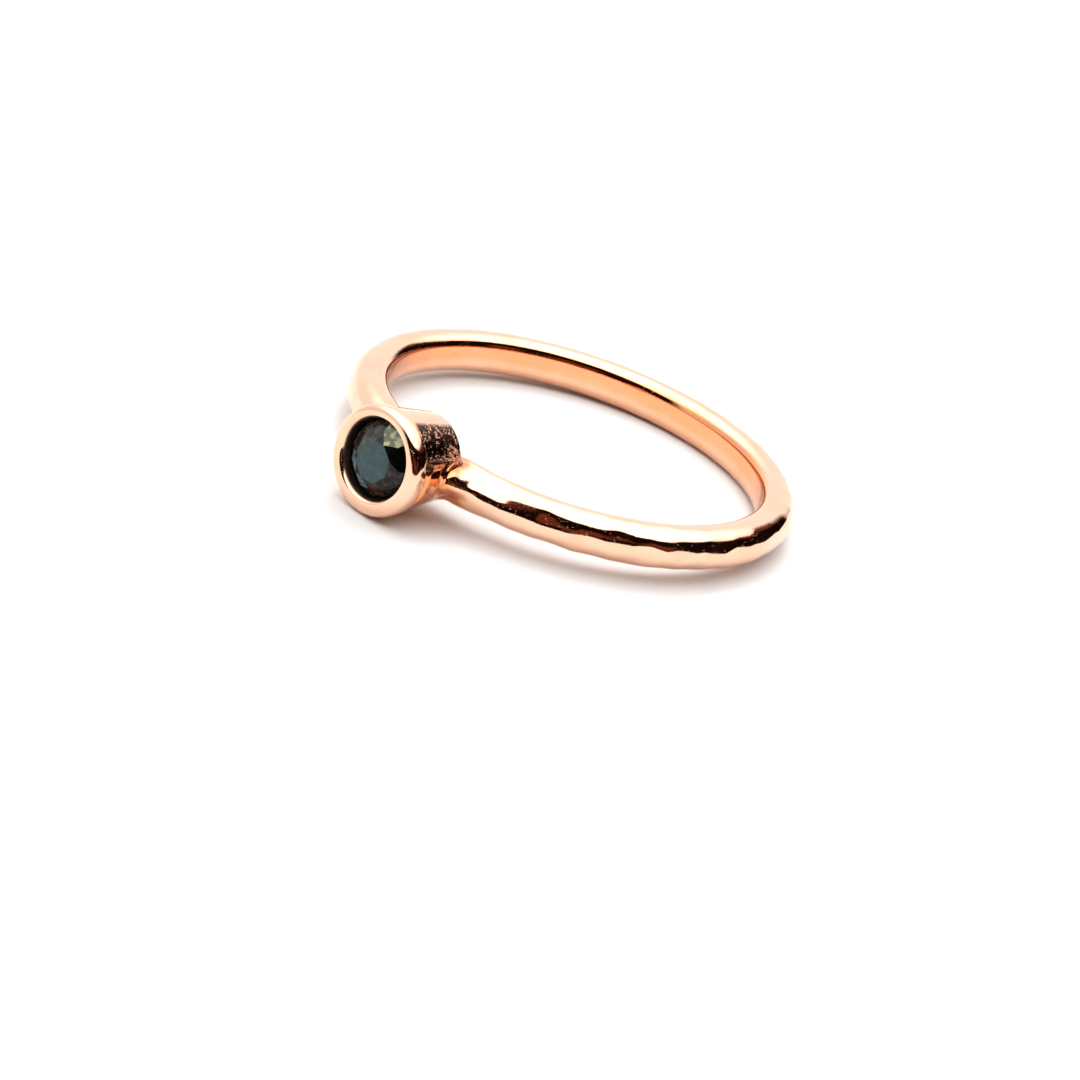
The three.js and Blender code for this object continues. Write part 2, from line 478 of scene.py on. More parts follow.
def put(name: str, mesh: bpy.types.Mesh) -> bpy.types.Object:
    """Make an object of a mesh and link it to the scene."""
    piece = bpy.data.objects.new(name, mesh)
    bpy.context.scene.collection.objects.link(piece)
    return piece


def points_of(mesh: bpy.types.Mesh) -> np.ndarray:
    """Return a mesh's points, one row each."""
    flat = np.zeros(len(mesh.vertices) * 3)
    mesh.vertices.foreach_get("co", flat)
    return flat.reshape(-1, 3)


def set_points(mesh: bpy.types.Mesh, points: np.ndarray) -> None:
    """Move a mesh's points."""
    mesh.vertices.foreach_set("co", points.ravel())
    mesh.update()


def set_weights(mesh: bpy.types.Mesh, name: str, weights: np.ndarray) -> None:
    """Store one number for each point of a mesh."""
    layer = mesh.attributes.new(name, "FLOAT", "POINT")
    layer.data.foreach_set("value", weights.astype(np.float32))


def soft_step(value: np.ndarray, low: float, high: float) -> np.ndarray:
    """Return a soft step from 0 at low to 1 at high."""
    share = np.clip((value - low) / (high - low), 0.0, 1.0)
    return share * share * (3.0 - 2.0 * share)


def uneven(index: np.ndarray, stride: float) -> np.ndarray:
    """Return a repeatable uneven fraction from 0 to 1."""
    return np.mod(index * stride, 1.0)


@dataclass(frozen=True)
class MarkRow:
    """One row of hammer marks round the band."""

    marks: int
    across: float
    start: float
    force: float


@dataclass(frozen=True)
class Flat:
    """A long flat on the band's upper shoulder: its angle and reach in degrees, the rest in mm."""

    angle: float
    reach: float
    depth: float
    across: float = 0.4
    width: float = 0.3


@dataclass(frozen=True)
class Pit:
    """A small pit in the cup's side: along the axis, degrees from the top, size and depth in mm."""

    along: float
    around: float
    size: float
    depth: float


@dataclass(frozen=True)
class Band:
    """The hammered hoop: half-round outside, flat inside. Sizes in millimetres."""

    finger_radius: float = 8.6
    thickness: float = 1.66
    width: float = 1.85
    outer_exponent: float = 2.0
    inner_exponent: float = 3.4
    inner_flattening: float = 1.02
    mark_depth: float = 0.052
    mark_length: float = 1.7
    mark_width: float = 1.15
    mark_softness: float = 0.01
    least_force: float = 0.5
    heavy_side: float = math.radians(-32)
    rows: tuple[MarkRow, ...] = (
        MarkRow(marks=41, across=0.78, start=0.2, force=0.7),
        MarkRow(marks=43, across=0.0, start=0.7, force=1.0),
        MarkRow(marks=40, across=-0.78, start=0.4, force=0.9),
    )
    flats: tuple[Flat, ...] = (
        Flat(-74, 9, 0.2, across=0.66, width=0.52),
        Flat(-57, 10, 0.055),
        Flat(-40, 6, 0.02),
        Flat(-3, 13, 0.04),
        Flat(52, 10, 0.03),
        Flat(96, 12, 0.04),
        Flat(143, 9, 0.03),
        Flat(188, 12, 0.035),
        Flat(222, 9, 0.03),
    )
    flare_place: float = 1.95
    flare_length: float = 0.6
    flare_out: float = 1.0
    flare_up: float = 0.06
    flare_below: float = 0.25
    flare_squareness: float = 2.6
    steps_round: int = 720
    steps_section: int = 56

    @property
    def section_radius(self) -> float:
        """Distance from the finger's axis to the middle of the section."""
        return self.finger_radius + self.thickness / 2

    @property
    def outer_radius(self) -> float:
        """Distance from the finger's axis to the outside."""
        return self.finger_radius + self.thickness

    def dents(self, angle: np.ndarray, across: np.ndarray) -> np.ndarray:
        """Work out how far the hammered face lies under the plain one.

        Args:
            angle: Angles round the band.
            across: Places across the outside, in millimetres from its middle line.

        Returns:
            Depths in millimetres, 0 where no hammer fell.
        """
        total = np.ones(np.broadcast(angle, across).shape)
        for row in self.rows:
            for i in range(row.marks):
                drift = 0.45 * (uneven(i, 0.618034) - 0.5)
                middle = 2 * math.pi * (i + row.start + drift) / row.marks
                centre = row.across + 0.36 * (uneven(i, 0.414214) - 0.5)
                near = max(0.0, math.cos(middle - self.heavy_side))
                force = row.force * (self.least_force + (1 - self.least_force) * near)
                depth = self.mark_depth * (0.7 + 0.6 * uneven(i, 0.732051)) * force
                turn = np.mod(angle - middle + math.pi, 2 * math.pi) - math.pi
                along = 2 * turn * self.outer_radius / self.mark_length
                side = 2 * (across - centre) / self.mark_width
                sink = depth - self.mark_depth * force * (along**2 + side**2)
                total = total + np.exp(np.clip(sink / self.mark_softness, -40.0, 40.0))
        return self.mark_softness * np.log(total)

    def flat_sink(self, angle: np.ndarray, across: np.ndarray) -> np.ndarray:
        """Work out how far the long flats lie under the plain section.

        Args:
            angle: Angles round the band.
            across: Places across the outside, in millimetres from its middle line.

        Returns:
            Depths in millimetres.
        """
        total = np.zeros(np.broadcast(angle, across).shape)
        for flat in self.flats:
            turn = np.mod(np.degrees(angle) - flat.angle + 180, 360) - 180
            total = total + flat.depth * np.exp(-((turn / flat.reach) ** 2) - ((across - flat.across) / flat.width) ** 2)
        return total

    def flare(self, aside: np.ndarray, front: np.ndarray, climb: np.ndarray) -> np.ndarray:
        """Return how much the band swells where it meets the cup, from 0 to 1.

        Args:
            aside: Places to the side of the ring's middle plane.
            front: Where the points are on the cup's half of the band.
            climb: How far their direction from the section's middle is upwards, from -1 to 1.

        Returns:
            Shares from 0 to 1.
        """
        off = np.maximum(np.abs(aside) - self.flare_place, 0.0) / self.flare_length
        inner = soft_step(np.abs(aside), self.flare_place - 0.9, self.flare_place)
        upper = self.flare_below + (1 - self.flare_below) * soft_step(climb, -0.4, 0.4)
        return np.where(front, np.exp(-(off**2)), 0.0) * inner * upper

    def section(self, turn: np.ndarray, angle: np.ndarray) -> tuple[np.ndarray, np.ndarray]:
        """Work out points of the section.

        Args:
            turn: Directions about the section's middle, 0 outwards.
            angle: Angles round the band.

        Returns:
            Distances from the finger's axis, and heights.
        """
        outside = np.cos(turn) >= 0
        flare = self.flare(self.section_radius * np.cos(angle), np.sin(angle) < 0, np.sin(turn))
        exponent = np.where(outside, self.outer_exponent + self.flare_squareness * flare**3, self.inner_exponent)
        reach = (np.abs(np.cos(turn)) ** exponent + np.abs(np.sin(turn)) ** exponent) ** (-1 / exponent)
        across = np.arctan2(np.sin(turn), np.cos(turn)) * (self.thickness + self.width) / 4
        sink = np.where(outside, self.dents(angle, across) + self.flat_sink(angle, across), 0.0)
        flat = np.where(outside, 1.0, self.inner_flattening)
        half_out = self.thickness / 2 * flat + self.flare_out * flare * outside
        half_up = self.width / 2 + self.flare_up * flare
        radius = np.maximum(self.finger_radius, self.section_radius + reach * np.cos(turn) * (half_out - sink))
        return radius, reach * np.sin(turn) * (half_up - sink)

    def mesh(self) -> bpy.types.Mesh:
        """Return the band as one closed mesh."""
        angle = 2 * math.pi * (np.arange(self.steps_round) + 0.5) / self.steps_round
        turn = 2 * math.pi * np.arange(self.steps_section) / self.steps_section
        angles, turns = np.meshgrid(angle, turn, indexing="ij")
        radius, height = self.section(turns, angles)
        points = np.stack([radius * np.cos(angles), radius * np.sin(angles), height], axis=-1)
        return mesh_from("band", points.reshape(-1, 3), grid_faces(self.steps_round, self.steps_section))

    def distance(self, points: np.ndarray) -> np.ndarray:
        """Return about how far points lie outside the band's plain section."""
        radius = np.hypot(points[:, 0], points[:, 1])
        out = radius - self.section_radius
        climb = points[:, 2] / np.maximum(np.hypot(out, points[:, 2]), 1e-6)
        flare = self.flare(points[:, 0] * self.section_radius / radius, points[:, 1] < 0, climb)
        share_out = np.abs(out) / (self.thickness / 2 + self.flare_out * flare * (out >= 0))
        share_up = np.abs(points[:, 2]) / (self.width / 2 + self.flare_up * flare)
        exponent = np.where(out >= 0, self.outer_exponent + self.flare_squareness * flare**3, self.inner_exponent)
        level = (share_out**exponent + share_up**exponent) ** (1 / exponent)
        return (level - 1.0) * (self.thickness + self.width) / 4


def grid_faces(rows: int, columns: int) -> list[tuple[int, int, int, int]]:
    """Join a grid of points that closes on itself both ways into faces.

    Args:
        rows: The number of rows.
        columns: The number of points in a row.

    Returns:
        The faces.
    """
    faces = []
    for i in range(rows):
        below = (i + 1) % rows
        for j in range(columns):
            beside = (j + 1) % columns
            faces.append((
                i * columns + j,
                below * columns + j,
                below * columns + beside,
                i * columns + beside,
            ))
    return faces


@dataclass(frozen=True)
class Bezel:
    """The tapered cup with its rolled lip. Sizes in millimetres."""

    lean: float = math.radians(2.4)
    rim_plane: float = 13.06
    back: float = 9.62
    back_radius: float = 1.92
    front_radius: float = 2.26
    back_edge: float = 0.14
    lip_radius: float = 2.36
    lip_depth: float = 0.84
    lip_crest: float = 1.9
    lip_squareness: float = 2.7
    lip_drop: float = 0.1
    opening_radius: float = 1.69
    seat_radius: float = 1.67
    girdle_top: float = 12.57
    girdle_foot: float = 12.44
    seat_depth: float = 1.38
    steps_round: int = 224
    arc_steps: int = 12

    @property
    def axes(self) -> tuple[np.ndarray, np.ndarray, np.ndarray]:
        """The ring's directions out along the bezel, up across it, and to its side."""
        out = np.array([0.0, -math.cos(self.lean), math.sin(self.lean)])
        up = np.array([0.0, math.sin(self.lean), math.cos(self.lean)])
        return out, up, np.array([1.0, 0.0, 0.0])

    def arc(
        self,
        centre: tuple[float, float],
        reach: tuple[float, float],
        start: float,
        squareness: float = 2.0,
    ) -> list[tuple[float, float]]:
        """Work out a quarter of an ellipse, or of a squarer curve.

        Args:
            centre: Radius and distance along the axis of its centre.
            reach: Its half sizes.
            start: The direction in which it starts.
            squareness: 2 for an ellipse, more for a squarer corner.

        Returns:
            Radii and distances, without the first point.
        """
        points = []
        for i in range(1, self.arc_steps + 1):
            turn = start + math.pi / 2 * i / self.arc_steps
            size = (abs(math.cos(turn)) ** squareness + abs(math.sin(turn)) ** squareness) ** (-1 / squareness)
            points.append((
                centre[0] + reach[0] * size * math.cos(turn),
                centre[1] + reach[1] * size * math.sin(turn),
            ))
        return points

    def line(self, start: tuple[float, float], end: tuple[float, float], steps: int) -> list[tuple[float, float]]:
        """Return points on a straight line, without the first."""
        return [
            (start[0] + (end[0] - start[0]) * i / steps, start[1] + (end[1] - start[1]) * i / steps)
            for i in range(1, steps + 1)
        ]

    def profile(self) -> list[tuple[float, float]]:
        """Return the cup's outline from the middle of its back to the bottom of its seat."""
        middle = self.rim_plane - self.lip_depth / 2
        foot = middle - self.lip_depth / 2
        edge = self.back_edge
        inner_back = (self.back_radius - edge, self.back)
        side_start = (self.back_radius, self.back + edge)
        side_end = (self.front_radius, foot)
        half = self.lip_depth / 2
        wall_top = (self.opening_radius, middle)
        points = [(0.02, self.back)]
        points += self.line(points[-1], inner_back, 14)
        points += self.arc((inner_back[0], side_start[1]), (edge, edge), -math.pi / 2)
        points += self.line(side_start, side_end, 40)
        shoulder = (self.lip_radius - self.front_radius, half)
        face = (self.lip_radius - self.lip_crest, half)
        throat = (self.lip_crest - self.opening_radius, half)
        points += self.arc((self.front_radius, middle), shoulder, -math.pi / 2, self.lip_squareness)
        points += self.arc((self.lip_crest, middle), face, 0.0, self.lip_squareness)
        points += self.arc((self.lip_crest, middle), throat, math.pi / 2)
        points += self.line(wall_top, (self.seat_radius, self.girdle_top), 3)
        points += self.line(points[-1], (self.seat_radius, self.girdle_foot), 3)
        points += self.line(points[-1], (0.02, self.girdle_foot - self.seat_depth), 12)
        return points

    def mesh(self) -> bpy.types.Mesh:
        """Return the cup as one closed mesh."""
        out, up, side = self.axes
        profile = np.array(self.profile())
        turn = 2 * math.pi * np.arange(self.steps_round) / self.steps_round
        radius = profile[:, 0][None, :]
        drop = self.lip_drop * np.maximum(0.0, (radius - self.opening_radius) / (self.lip_radius - self.opening_radius))
        rise = radius * np.cos(turn)[:, None] - drop
        aside = radius * np.sin(turn)[:, None]
        along = np.broadcast_to(profile[:, 1][None, :], rise.shape)
        points = along[..., None] * out + rise[..., None] * up + aside[..., None] * side
        count = len(profile)
        faces = []
        for i in range(self.steps_round):
            below = (i + 1) % self.steps_round
            for j in range(count - 1):
                faces.append((i * count + j, i * count + j + 1, below * count + j + 1, below * count + j))
        faces.append([i * count for i in range(self.steps_round)])
        faces.append([i * count + count - 1 for i in reversed(range(self.steps_round))])
        return mesh_from("bezel", points.reshape(-1, 3), faces)

    def own_place(self, points: np.ndarray) -> tuple[np.ndarray, np.ndarray, np.ndarray]:
        """Return each point's distance out along the axis, its rise and its place to the side."""
        out, up, side = self.axes
        return points @ out, points @ up, points @ side

    def distance(self, points: np.ndarray) -> np.ndarray:
        """Return about how far points lie outside the cup's plain side and back."""
        along, rise, aside = self.own_place(points)
        share = (along - self.back) / (self.rim_plane - self.lip_depth - self.back)
        wall = self.back_radius + (self.front_radius - self.back_radius) * share
        drop = self.lip_drop * np.maximum(0.0, (wall - self.opening_radius) / (self.lip_radius - self.opening_radius))
        return np.maximum(np.hypot(aside, rise + drop) - wall, self.back - along)


@dataclass(frozen=True)
class Metalwork:
    """The band and the cup, joined by solder into one piece. Sizes in millimetres."""

    band: Band
    bezel: Bezel
    fillet: float = 0.38
    ledge: float = 0.13
    rounds: int = 8
    lump_size: float = 0.42
    lump_height: float = 0.035
    grain_size: float = 0.13
    grain_height: float = 0.012
    pits: tuple[Pit, ...] = (
        Pit(12.12, 73, 0.15, 0.12),
        Pit(11.2, 78, 0.09, 0.03),
        Pit(11.6, 33, 0.08, 0.03),
        Pit(10.4, 47, 0.1, 0.03),
    )

    def joined(self) -> bpy.types.Mesh:
        """Return the band and the cup as one closed mesh."""
        band = put("band", self.band.mesh())
        bezel = put("bezel", self.bezel.mesh())
        union = band.modifiers.new("union", "BOOLEAN")
        union.operation = "UNION"
        union.solver = "MANIFOLD"
        union.object = bezel
        graph = bpy.context.evaluated_depsgraph_get()
        mesh = bpy.data.meshes.new_from_object(band.evaluated_get(graph))
        for piece in (band, bezel):
            bpy.data.objects.remove(piece)
        return mesh

    def soft_distance(self, points: np.ndarray) -> np.ndarray:
        """Return about how far points lie outside the two forms and their fillet."""
        first = self.band.distance(points)
        second = self.bezel.distance(points)
        near = np.maximum(self.fillet - np.abs(first - second), 0.0) / self.fillet
        return np.minimum(first, second) - near * near * self.fillet / 4

    def seam(self, points: np.ndarray) -> np.ndarray:
        """Return how near points lie to the seam, from 0 to 1."""
        first = self.band.distance(points)
        second = self.bezel.distance(points)
        return soft_step(self.fillet * 1.3 - np.maximum(np.abs(first), np.abs(second)), 0.0, self.fillet)

    def fill_seam(self, points: np.ndarray) -> np.ndarray:
        """Move the points near the seam out onto a fillet.

        Args:
            points: The joined form's points.

        Returns:
            The moved points.
        """
        moved = points.copy()
        first = self.band.distance(points)
        second = self.bezel.distance(points)
        inside_reach = np.maximum(np.abs(first), np.abs(second)) < 1.3 * self.fillet
        chosen = np.where(inside_reach & (np.abs(first - second) < self.fillet))[0]
        plain = np.minimum(first[chosen], second[chosen])
        reach = 0.001
        for _ in range(self.rounds):
            here = moved[chosen]
            level = self.soft_distance(here) - plain
            slope = np.stack([
                self.soft_distance(here + reach * axis) - self.soft_distance(here - reach * axis)
                for axis in np.eye(3)
            ], axis=1) / (2 * reach)
            length = np.maximum((slope**2).sum(1), 0.2)
            moved[chosen] = here - slope * (level / length)[:, None]
        return moved

    def cast_weight(self, points: np.ndarray) -> np.ndarray:
        """Return where the cup's side was never polished, from 0 to 1."""
        along, rise, aside = self.bezel.own_place(points)
        around = np.degrees(np.arctan2(aside, rise))
        on_cup = np.exp(-((self.bezel.distance(points) / 0.12) ** 2))
        foot = self.bezel.rim_plane - self.bezel.lip_depth
        length = soft_step(along, 9.55, 9.75) * soft_step(foot + 0.14 - along, 0.0, 0.1)
        sector = soft_step(around, 18.0, 25.0) * soft_step(76.0 - around, 0.0, 12.0)
        return on_cup * length * sector

    def rubbed_weight(self, points: np.ndarray) -> np.ndarray:
        """Return where the cup's rough side is rubbed bare most, towards the band, from 0 to 1."""
        along, rise, aside = self.bezel.own_place(points)
        around = np.degrees(np.arctan2(aside, rise))
        low_back = soft_step(11.3 - along, 0.0, 1.2) * soft_step(around, 30.0, 70.0)
        high_front = 0.45 * soft_step(50.0 - around, 0.0, 25.0)
        return np.maximum(low_back, high_front)

    def painted_seat_shade_weight(self, points: np.ndarray) -> np.ndarray:
        """Return where shade is painted down inside the seat, below the rim, from 0 to 1."""
        along, rise, aside = self.bezel.own_place(points)
        radius = np.hypot(aside, rise)
        below = soft_step(self.bezel.rim_plane - 0.04 - along, 0.0, 0.14)
        return below * soft_step(1.84 - radius, 0.0, 0.06) * (along > self.bezel.back + 1.2)

    def pit_depth(self, points: np.ndarray) -> np.ndarray:
        """Return how deep the small pits are at each point, in millimetres."""
        along, rise, aside = self.bezel.own_place(points)
        around = np.degrees(np.arctan2(aside, rise))
        radius = np.hypot(aside, rise)
        total = np.zeros(len(points))
        for pit in self.pits:
            side = np.radians(around - pit.around) * radius
            total += pit.depth * np.exp(-(((along - pit.along) ** 2 + side**2) / pit.size**2))
        on_side = along < self.bezel.rim_plane - self.bezel.lip_depth + 0.15
        return total * on_side * (radius > self.bezel.back_radius - 0.1)

    def solder_weight(self, points: np.ndarray, seam: np.ndarray) -> np.ndarray:
        """Return where the solder ran: along the seam and over the cup's low side.

        Args:
            points: The piece's points.
            seam: How near they lie to the seam.

        Returns:
            Weights from 0 to 1.
        """
        along, rise, aside = self.bezel.own_place(points)
        around = np.degrees(np.arctan2(aside, rise))
        foot = self.bezel.rim_plane - self.bezel.lip_depth
        away = self.bezel.distance(points)
        flank = soft_step(2.85 - np.abs(aside) - points[:, 2], 0.0, 0.2)
        on_fill = soft_step(1.05 - away, 0.0, 0.5) * np.maximum(flank, soft_step(0.3 - away, 0.0, 0.15))
        sector = soft_step(around, 62.0, 72.0) * soft_step(150.0 - around, 0.0, 40.0)
        low_side = on_fill * sector * soft_step(foot + 0.18 - along, 0.0, 0.2)
        below = soft_step(70.0 - around, 0.0, 8.0) * (aside > 0.0)
        return np.maximum(seam * (1.0 - below), low_side)

    def ledge_height(self, points: np.ndarray) -> np.ndarray:
        """Return how far the solder stands out from the cup's low side, in millimetres."""
        along, rise, aside = self.bezel.own_place(points)
        around = np.degrees(np.arctan2(aside, rise))
        foot = self.bezel.rim_plane - self.bezel.lip_depth
        length = soft_step(along, self.bezel.back, self.bezel.back + 0.5) * soft_step(foot - along, 0.0, 0.2)
        near = soft_step(0.5 - np.abs(self.bezel.distance(points)), 0.0, 0.4)
        return self.ledge * length * near * soft_step(around, 63.0, 69.0) * soft_step(140.0 - around, 0.0, 50.0)

    def painted_reflection_weight(self, points: np.ndarray) -> np.ndarray:
        """Return where the band's inner face gets a painted warm reflection, strongest in its upper half, from 0 to 1.
        """
        radius = np.hypot(points[:, 0], points[:, 1])
        upper = 0.4 + 0.6 * soft_step(points[:, 2], -0.4, 0.1)
        return soft_step(self.band.finger_radius + 0.2 - radius, 0.0, 0.14) * upper

    def roughen(self, mesh: bpy.types.Mesh) -> None:
        """Add the solder's lumps and the casting's grain, and store where they are."""
        points = points_of(mesh)
        normals = np.zeros(len(mesh.vertices) * 3)
        mesh.vertex_normals.foreach_get("vector", normals)
        normals = normals.reshape(-1, 3)
        seam = self.seam(points)
        cast = self.cast_weight(points)
        untidy = seam * (0.2 + 0.8 * soft_step(points[:, 0], 0.6, 1.6) * soft_step(-points[:, 1], 9.9, 10.5))
        height = np.zeros(len(points))
        for i in np.where((seam > 0.01) | (cast > 0.01))[0]:
            spot = Vector(points[i])
            lump = noise.noise(spot / self.lump_size) * self.lump_height * untidy[i]
            grain = noise.fractal(spot / self.grain_size, 1.0, 2.0, 3) * self.grain_height
            height[i] = lump + grain * max(cast[i], 0.25 * untidy[i])
        pits = self.pit_depth(points)
        set_points(mesh, points + normals * (height + self.ledge_height(points) - pits)[:, None])
        set_weights(mesh, "cast", cast)
        set_weights(mesh, "rubbed", self.rubbed_weight(points))
        set_weights(mesh, "solder", self.solder_weight(points, seam))
        # Painted warm reflection on the band's inner face.
        set_weights(mesh, "inside", self.painted_reflection_weight(points))
        # Painted shade inside the seat, with the pits darkened as well.
        set_weights(mesh, "seat_shade_and_pits", np.maximum(self.painted_seat_shade_weight(points), np.minimum(pits / 0.05, 1.0)))

    def build(self, laying: Laying, finish: RoseGold) -> bpy.types.Object:
        """Make the piece, dress it and lay it down.

        Args:
            laying: Where the ring lies.
            finish: Its metal.

        Returns:
            The piece.
        """
        mesh = self.joined()
        set_points(mesh, self.fill_seam(points_of(mesh)))
        self.roughen(mesh)
        mesh.transform(laying.matrix())
        shade(mesh, math.radians(38))
        mesh.materials.clear()
        mesh.materials.append(finish.material())
        return put("hammered_band_and_bezel", mesh)


def drop_folds(form: bmesh.types.BMesh) -> None:
    """Delete faces that lie back to back on the same corners."""
    bmesh.ops.triangulate(form, faces=[face for face in form.faces if len(face.verts) > 4])
    form.verts.index_update()
    sharing: dict[frozenset[int], list[bmesh.types.BMFace]] = {}
    for face in form.faces:
        sharing.setdefault(frozenset(corner.index for corner in face.verts), []).append(face)
    folded = [face for faces in sharing.values() if len(faces) > 1 for face in faces]
    bmesh.ops.delete(form, geom=folded, context="FACES")


def shade(mesh: bpy.types.Mesh, sharpest: float) -> None:
    """Shade a mesh smoothly, apart from edges sharper than an angle.

    Args:
        mesh: The mesh.
        sharpest: The angle in radians.
    """
    form = bmesh.new()
    form.from_mesh(mesh)
    bmesh.ops.remove_doubles(form, verts=form.verts, dist=CLOSEST * MM)
    drop_folds(form)
    for face in form.faces:
        face.smooth = True
    for edge in form.edges:
        edge.smooth = not (edge.is_manifold and edge.calc_face_angle() > sharpest)
    form.to_mesh(mesh)
    form.free()


@dataclass(frozen=True)
class Stone:
    """A round brilliant. Sizes in millimetres, heights along the bezel's axis."""

    radius: float = 1.62
    table_radius: float = 0.92
    table_plane: float = 13.03
    crown_height: float = 0.46
    girdle_height: float = 0.08
    pavilion_depth: float = 1.34
    kite_share: float = 0.52
    kite_rise: float = 0.46
    lower_share: float = 0.24
    lower_rise: float = 0.2
    mains: int = 8
    turn: float = 18.0
    table_shift: float = 0.1
    worn_edge: float = 0.012

    def level(self, radius: float, height: float, count: int, start: float) -> list[tuple[float, float, float]]:
        """Return corners evenly round the stone's axis: aside, rise and along."""
        turns = [2 * math.pi * (i + start) / count + math.radians(self.turn) for i in range(count)]
        share = max(0.0, (self.radius - radius) / (self.radius - self.table_radius))
        drop = self.table_shift * share if height > self.table_plane - self.crown_height else 0.0
        return [(radius * math.sin(t), radius * math.cos(t) - drop, height) for t in turns]

    def facets(self) -> list[tuple[Facet, list[tuple[float, float, float]]]]:
        """Return every facet, with its kind and corners."""
        girdle_top = self.table_plane - self.crown_height
        girdle_foot = girdle_top - self.girdle_height
        culet = girdle_foot - self.pavilion_depth
        kite_radius = self.table_radius + (self.radius - self.table_radius) * self.kite_share
        kite_height = self.table_plane + (girdle_top - self.table_plane) * self.kite_rise
        lower_height = culet + (girdle_foot - culet) * self.lower_rise
        table = self.level(self.table_radius, self.table_plane, self.mains, 0.0)
        star = self.level(kite_radius, kite_height, self.mains, 0.5)
        top = self.level(self.radius, girdle_top, 2 * self.mains, 0.0)
        foot = self.level(self.radius, girdle_foot, 2 * self.mains, 0.0)
        lower = self.level(self.radius * self.lower_share, lower_height, self.mains, 0.5)
        tip = (0.0, 0.0, culet)
        found: list[tuple[Facet, list[tuple[float, float, float]]]] = [(Facet.TABLE, table)]
        for i in range(self.mains):
            following = (i + 1) % self.mains
            before = (i - 1) % self.mains
            main = 2 * i
            middle = 2 * i + 1
            following_main = (2 * i + 2) % (2 * self.mains)
            found.append((Facet.STAR, [table[i], star[i], table[following]]))
            found.append((Facet.KITE, [table[i], star[before], top[main], star[i]]))
            found.append((Facet.UPPER, [star[i], top[main], top[middle]]))
            found.append((Facet.UPPER, [star[i], top[middle], top[following_main]]))
            found.append((Facet.GIRDLE, [top[main], foot[main], foot[middle], top[middle]]))
            found.append((Facet.GIRDLE, [top[middle], foot[middle], foot[following_main], top[following_main]]))
            found.append((Facet.LOWER, [foot[main], lower[i], foot[middle]]))
            found.append((Facet.LOWER, [foot[middle], lower[i], foot[following_main]]))
            found.append((Facet.MAIN, [foot[main], lower[before], tip, lower[i]]))
        return found

    def build(self, bezel: Bezel, laying: Laying, finish: BlackStone) -> bpy.types.Object:
        """Make the stone, dress it and lay it in its seat.

        Args:
            bezel: The cup that holds it.
            laying: Where the ring lies.
            finish: Its material.

        Returns:
            The piece.
        """
        out, up, side = (Vector(axis) for axis in bezel.axes)
        form = bmesh.new()
        painted_facet_light = form.faces.layers.float.new("painted_facet_light")
        for kind, corners in self.facets():
            face = form.faces.new([
                form.verts.new(aside * side + rise * up + along * out) for aside, rise, along in corners
            ])
            middle = np.mean(corners, axis=0)
            # Painted reflection colour, chosen by the facet's place round the stone.
            face[painted_facet_light] = self.painted_facet_light(kind, math.degrees(math.atan2(middle[0], middle[1]))).share
        bmesh.ops.remove_doubles(form, verts=form.verts, dist=1e-4)
        bmesh.ops.recalc_face_normals(form, faces=form.faces)
        bmesh.ops.bevel(form, geom=list(form.edges), offset=self.worn_edge, segments=1, affect="EDGES")
        mesh = bpy.data.meshes.new("stone")
        form.to_mesh(mesh)
        form.free()
        mesh.transform(laying.matrix())
        mesh.materials.append(finish.material())
        return put("black_brilliant", mesh)

    @staticmethod
    def painted_facet_light(kind: Facet, around: float) -> PaintedFacetLight:
        """Choose the colour painted on a facet for the reflection it shows.

        Args:
            kind: The kind of facet.
            around: Where it lies round the stone, in degrees from the top.

        Returns:
            The painted colour.
        """
        # Painted reflections: the table is teal, the top is olive, and other facets are brown, smoky or teal by place;
        # the rest stay black.
        if kind is Facet.TABLE:
            return PaintedFacetLight.TEAL
        if kind not in (Facet.STAR, Facet.KITE, Facet.UPPER):
            return PaintedFacetLight.BLACK
        if kind in (Facet.KITE, Facet.UPPER) and abs(around - 18) < 15:
            return PaintedFacetLight.OLIVE
        if -100 < around < 30:
            return PaintedFacetLight.BROWN
        if abs(around - 130) < 45:
            return PaintedFacetLight.SMOKE
        if around < 0:
            return PaintedFacetLight.PALE_TEAL if kind is Facet.KITE else PaintedFacetLight.TEAL
        return PaintedFacetLight.BLACK


@dataclass(frozen=True)
class Viewpoint:
    """Where the camera stands, in the ring's own frame. Lengths in millimetres."""

    elevation: float = 0.38973
    azimuth: float = 0.61972
    roll: float = 0.33228
    distance: float = 160.0
    shift_right: float = 1.4289
    shift_up: float = 4.192
    focal_pixels: float = 3644.03

    def build(self, laying: Laying) -> bpy.types.Object:
        """Make the camera.

        Args:
            laying: Where the ring lies.

        Returns:
            The camera.
        """
        back = Vector((
            math.sin(self.azimuth) * math.cos(self.elevation),
            -math.cos(self.azimuth) * math.cos(self.elevation),
            math.sin(self.elevation),
        ))
        level_right = Vector((0.0, 0.0, 1.0)).cross(back).normalized()
        level_up = back.cross(level_right)
        right = math.cos(self.roll) * level_right + math.sin(self.roll) * level_up
        up = math.cos(self.roll) * level_up - math.sin(self.roll) * level_right
        stand = back * self.distance - right * self.shift_right - up * self.shift_up
        pose = Matrix.Identity(4)
        for column, axis in enumerate((right, up, back, stand)):
            for row in range(3):
                pose[row][column] = axis[row]
        lens = bpy.data.cameras.new("camera")
        lens.sensor_width = SENSOR_WIDTH
        lens.lens = self.focal_pixels * SENSOR_WIDTH / PHOTO_SIDE
        lens.clip_start = 0.001
        camera = bpy.data.objects.new("camera", lens)
        bpy.context.scene.collection.objects.link(camera)
        laid = laying.matrix() @ pose
        camera.matrix_world = Matrix.LocRotScale(laid.translation, laid.to_quaternion(), None)
        bpy.context.scene.camera = camera
        return camera


